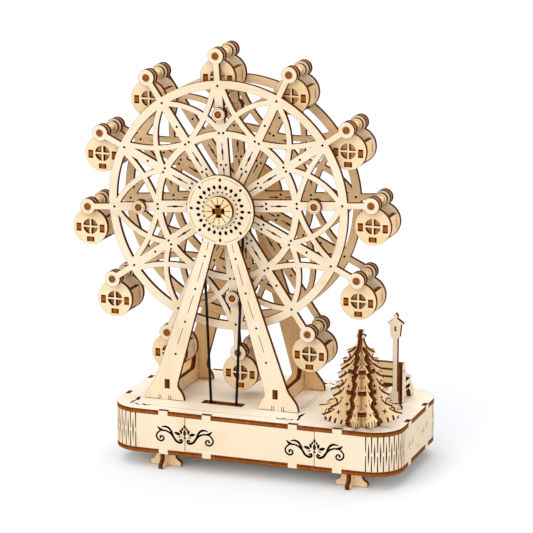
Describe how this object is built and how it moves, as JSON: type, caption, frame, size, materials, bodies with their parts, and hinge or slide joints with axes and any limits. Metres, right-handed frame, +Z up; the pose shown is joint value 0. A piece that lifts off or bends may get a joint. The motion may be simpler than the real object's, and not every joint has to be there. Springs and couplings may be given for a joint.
{
  "type": "ferris wheel music box",
  "caption": "Hand-cranked ferris wheel music box in laser-cut plywood: a double latticed wheel with swinging cabins on an A-frame stand, turned by a cord belt from the crank in its base.",
  "frame": {"origin": "the middle of the part's footprint, on the ground under its feet", "axes": "+X to the right along the base as the wheel is seen from its front, +Y from the front to the crank at the back, parallel to the wheel's axle, +Z up"},
  "size_m": [0.233, 0.1304, 0.2703],
  "materials": {
    "basswood_plywood": "raw 3 mm basswood plywood, laser-cut with burnt brown edges",
    "stained_hardwood": "hardwood dowel and strip, brown",
    "elastic_cord": "black round elastic cord, matt",
    "plated_steel": "bright plated",
    "brass": "bare, satin"
  },
  "bodies": {
    "base": {"base_bottom_plate": "basswood_plywood", "base_deck": "basswood_plywood", "wall_front": "basswood_plywood", "wall_rear": "basswood_plywood", "wall_left_bend": "basswood_plywood", "wall_right_bend": "basswood_plywood", "foot_front_left": "basswood_plywood", "foot_front_right": "basswood_plywood", "foot_rear_left": "basswood_plywood", "foot_rear_right": "basswood_plywood", "stand_front": "basswood_plywood", "stand_rear": "basswood_plywood", "stand_tie_left": "basswood_plywood", "stand_tie_right": "basswood_plywood", "crank_bearing": "basswood_plywood", "movement_bedplate": "plated_steel", "movement_comb": "plated_steel", "drive_belt": "elastic_cord", "tree": "basswood_plywood", "tree_star": "basswood_plywood", "lamp_post": "basswood_plywood", "bench_side_right": "basswood_plywood", "bench_side_left": "basswood_plywood", "bench_back_slat_top": "basswood_plywood", "bench_back_slat_middle": "basswood_plywood", "bench_back_slat_bottom": "basswood_plywood", "bench_seat_slat_inner": "basswood_plywood", "bench_seat_slat_outer": "basswood_plywood"},
    "wheel": {"wheel_front": "basswood_plywood", "wheel_rear": "basswood_plywood", "wheel_axle": "stained_hardwood", "hub_cap_front": "basswood_plywood", "hub_cap_rear": "basswood_plywood", "drive_pulley": "basswood_plywood", "wheel_spacer_1": "stained_hardwood", "wheel_spacer_2": "stained_hardwood", "wheel_spacer_3": "stained_hardwood", "wheel_spacer_4": "stained_hardwood"},
    "crank": {"crank_shaft": "plated_steel", "crank_pulley": "basswood_plywood", "crank_arm": "basswood_plywood", "crank_knob": "stained_hardwood", "crank_pinion": "brass"},
    "music_cylinder": {"movement_cylinder": "brass", "cylinder_gear": "brass"},
    "cabin_01_body": {"cabin_01": "basswood_plywood"},
    "cabin_02_body": {"cabin_02": "basswood_plywood"},
    "cabin_03_body": {"cabin_03": "basswood_plywood"},
    "cabin_04_body": {"cabin_04": "basswood_plywood"},
    "cabin_05_body": {"cabin_05": "basswood_plywood"},
    "cabin_06_body": {"cabin_06": "basswood_plywood"},
    "cabin_07_body": {"cabin_07": "basswood_plywood"},
    "cabin_08_body": {"cabin_08": "basswood_plywood"},
    "cabin_09_body": {"cabin_09": "basswood_plywood"},
    "cabin_10_body": {"cabin_10": "basswood_plywood"},
    "cabin_11_body": {"cabin_11": "basswood_plywood"},
    "cabin_12_body": {"cabin_12": "basswood_plywood"}
  },
  "joints": [
    {"name": "wheel_spin", "type": "hinge", "parent": "base", "child": "wheel", "pos_m": [-0.00782, -0.0025, 0.1685], "axis": [0, 1, 0], "continuous": true},
    {"name": "crank_turn", "type": "hinge", "parent": "base", "child": "crank", "pos_m": [-0.00782, -0.0025, 0.02455], "axis": [0, 1, 0], "continuous": true},
    {"name": "cylinder_turn", "type": "hinge", "parent": "base", "child": "music_cylinder", "pos_m": [0.00708, -0.0025, 0.02455], "axis": [0, 1, 0], "continuous": true},
    {"name": "cabin_01_swing", "type": "hinge", "parent": "wheel", "child": "cabin_01_body", "pos_m": [0.0889, -0.0025, 0.17594], "axis": [0, 1, 0], "continuous": true},
    {"name": "cabin_02_swing", "type": "hinge", "parent": "wheel", "child": "cabin_02_body", "pos_m": [0.07222, -0.0025, 0.2233], "axis": [0, 1, 0], "continuous": true},
    {"name": "cabin_03_swing", "type": "hinge", "parent": "wheel", "child": "cabin_03_body", "pos_m": [0.0341, -0.0025, 0.25598], "axis": [0, 1, 0], "continuous": true},
    {"name": "cabin_04_swing", "type": "hinge", "parent": "wheel", "child": "cabin_04_body", "pos_m": [-0.01526, -0.0025, 0.26521], "axis": [0, 1, 0], "continuous": true},
    {"name": "cabin_05_swing", "type": "hinge", "parent": "wheel", "child": "cabin_05_body", "pos_m": [-0.06262, -0.0025, 0.24854], "axis": [0, 1, 0], "continuous": true},
    {"name": "cabin_06_swing", "type": "hinge", "parent": "wheel", "child": "cabin_06_body", "pos_m": [-0.09529, -0.0025, 0.21041], "axis": [0, 1, 0], "continuous": true},
    {"name": "cabin_07_swing", "type": "hinge", "parent": "wheel", "child": "cabin_07_body", "pos_m": [-0.10453, -0.0025, 0.16106], "axis": [0, 1, 0], "continuous": true},
    {"name": "cabin_08_swing", "type": "hinge", "parent": "wheel", "child": "cabin_08_body", "pos_m": [-0.08785, -0.0025, 0.1137], "axis": [0, 1, 0], "continuous": true},
    {"name": "cabin_09_swing", "type": "hinge", "parent": "wheel", "child": "cabin_09_body", "pos_m": [-0.04973, -0.0025, 0.08102], "axis": [0, 1, 0], "continuous": true},
    {"name": "cabin_10_swing", "type": "hinge", "parent": "wheel", "child": "cabin_10_body", "pos_m": [-0.00037, -0.0025, 0.07179], "axis": [0, 1, 0], "continuous": true},
    {"name": "cabin_11_swing", "type": "hinge", "parent": "wheel", "child": "cabin_11_body", "pos_m": [0.04699, -0.0025, 0.08846], "axis": [0, 1, 0], "continuous": true},
    {"name": "cabin_12_swing", "type": "hinge", "parent": "wheel", "child": "cabin_12_body", "pos_m": [0.07966, -0.0025, 0.12659], "axis": [0, 1, 0], "continuous": true}
  ],
  "couplings": [
    {"joint": "crank_turn", "follows": "wheel_spin", "ratio": 1.7654},
    {"joint": "cylinder_turn", "follows": "wheel_spin", "ratio": -0.88272},
    {"joint": "cabin_01_swing", "follows": "wheel_spin", "ratio": -1},
    {"joint": "cabin_02_swing", "follows": "wheel_spin", "ratio": -1},
    {"joint": "cabin_03_swing", "follows": "wheel_spin", "ratio": -1},
    {"joint": "cabin_04_swing", "follows": "wheel_spin", "ratio": -1},
    {"joint": "cabin_05_swing", "follows": "wheel_spin", "ratio": -1},
    {"joint": "cabin_06_swing", "follows": "wheel_spin", "ratio": -1},
    {"joint": "cabin_07_swing", "follows": "wheel_spin", "ratio": -1},
    {"joint": "cabin_08_swing", "follows": "wheel_spin", "ratio": -1},
    {"joint": "cabin_09_swing", "follows": "wheel_spin", "ratio": -1},
    {"joint": "cabin_10_swing", "follows": "wheel_spin", "ratio": -1},
    {"joint": "cabin_11_swing", "follows": "wheel_spin", "ratio": -1},
    {"joint": "cabin_12_swing", "follows": "wheel_spin", "ratio": -1}
  ]
}
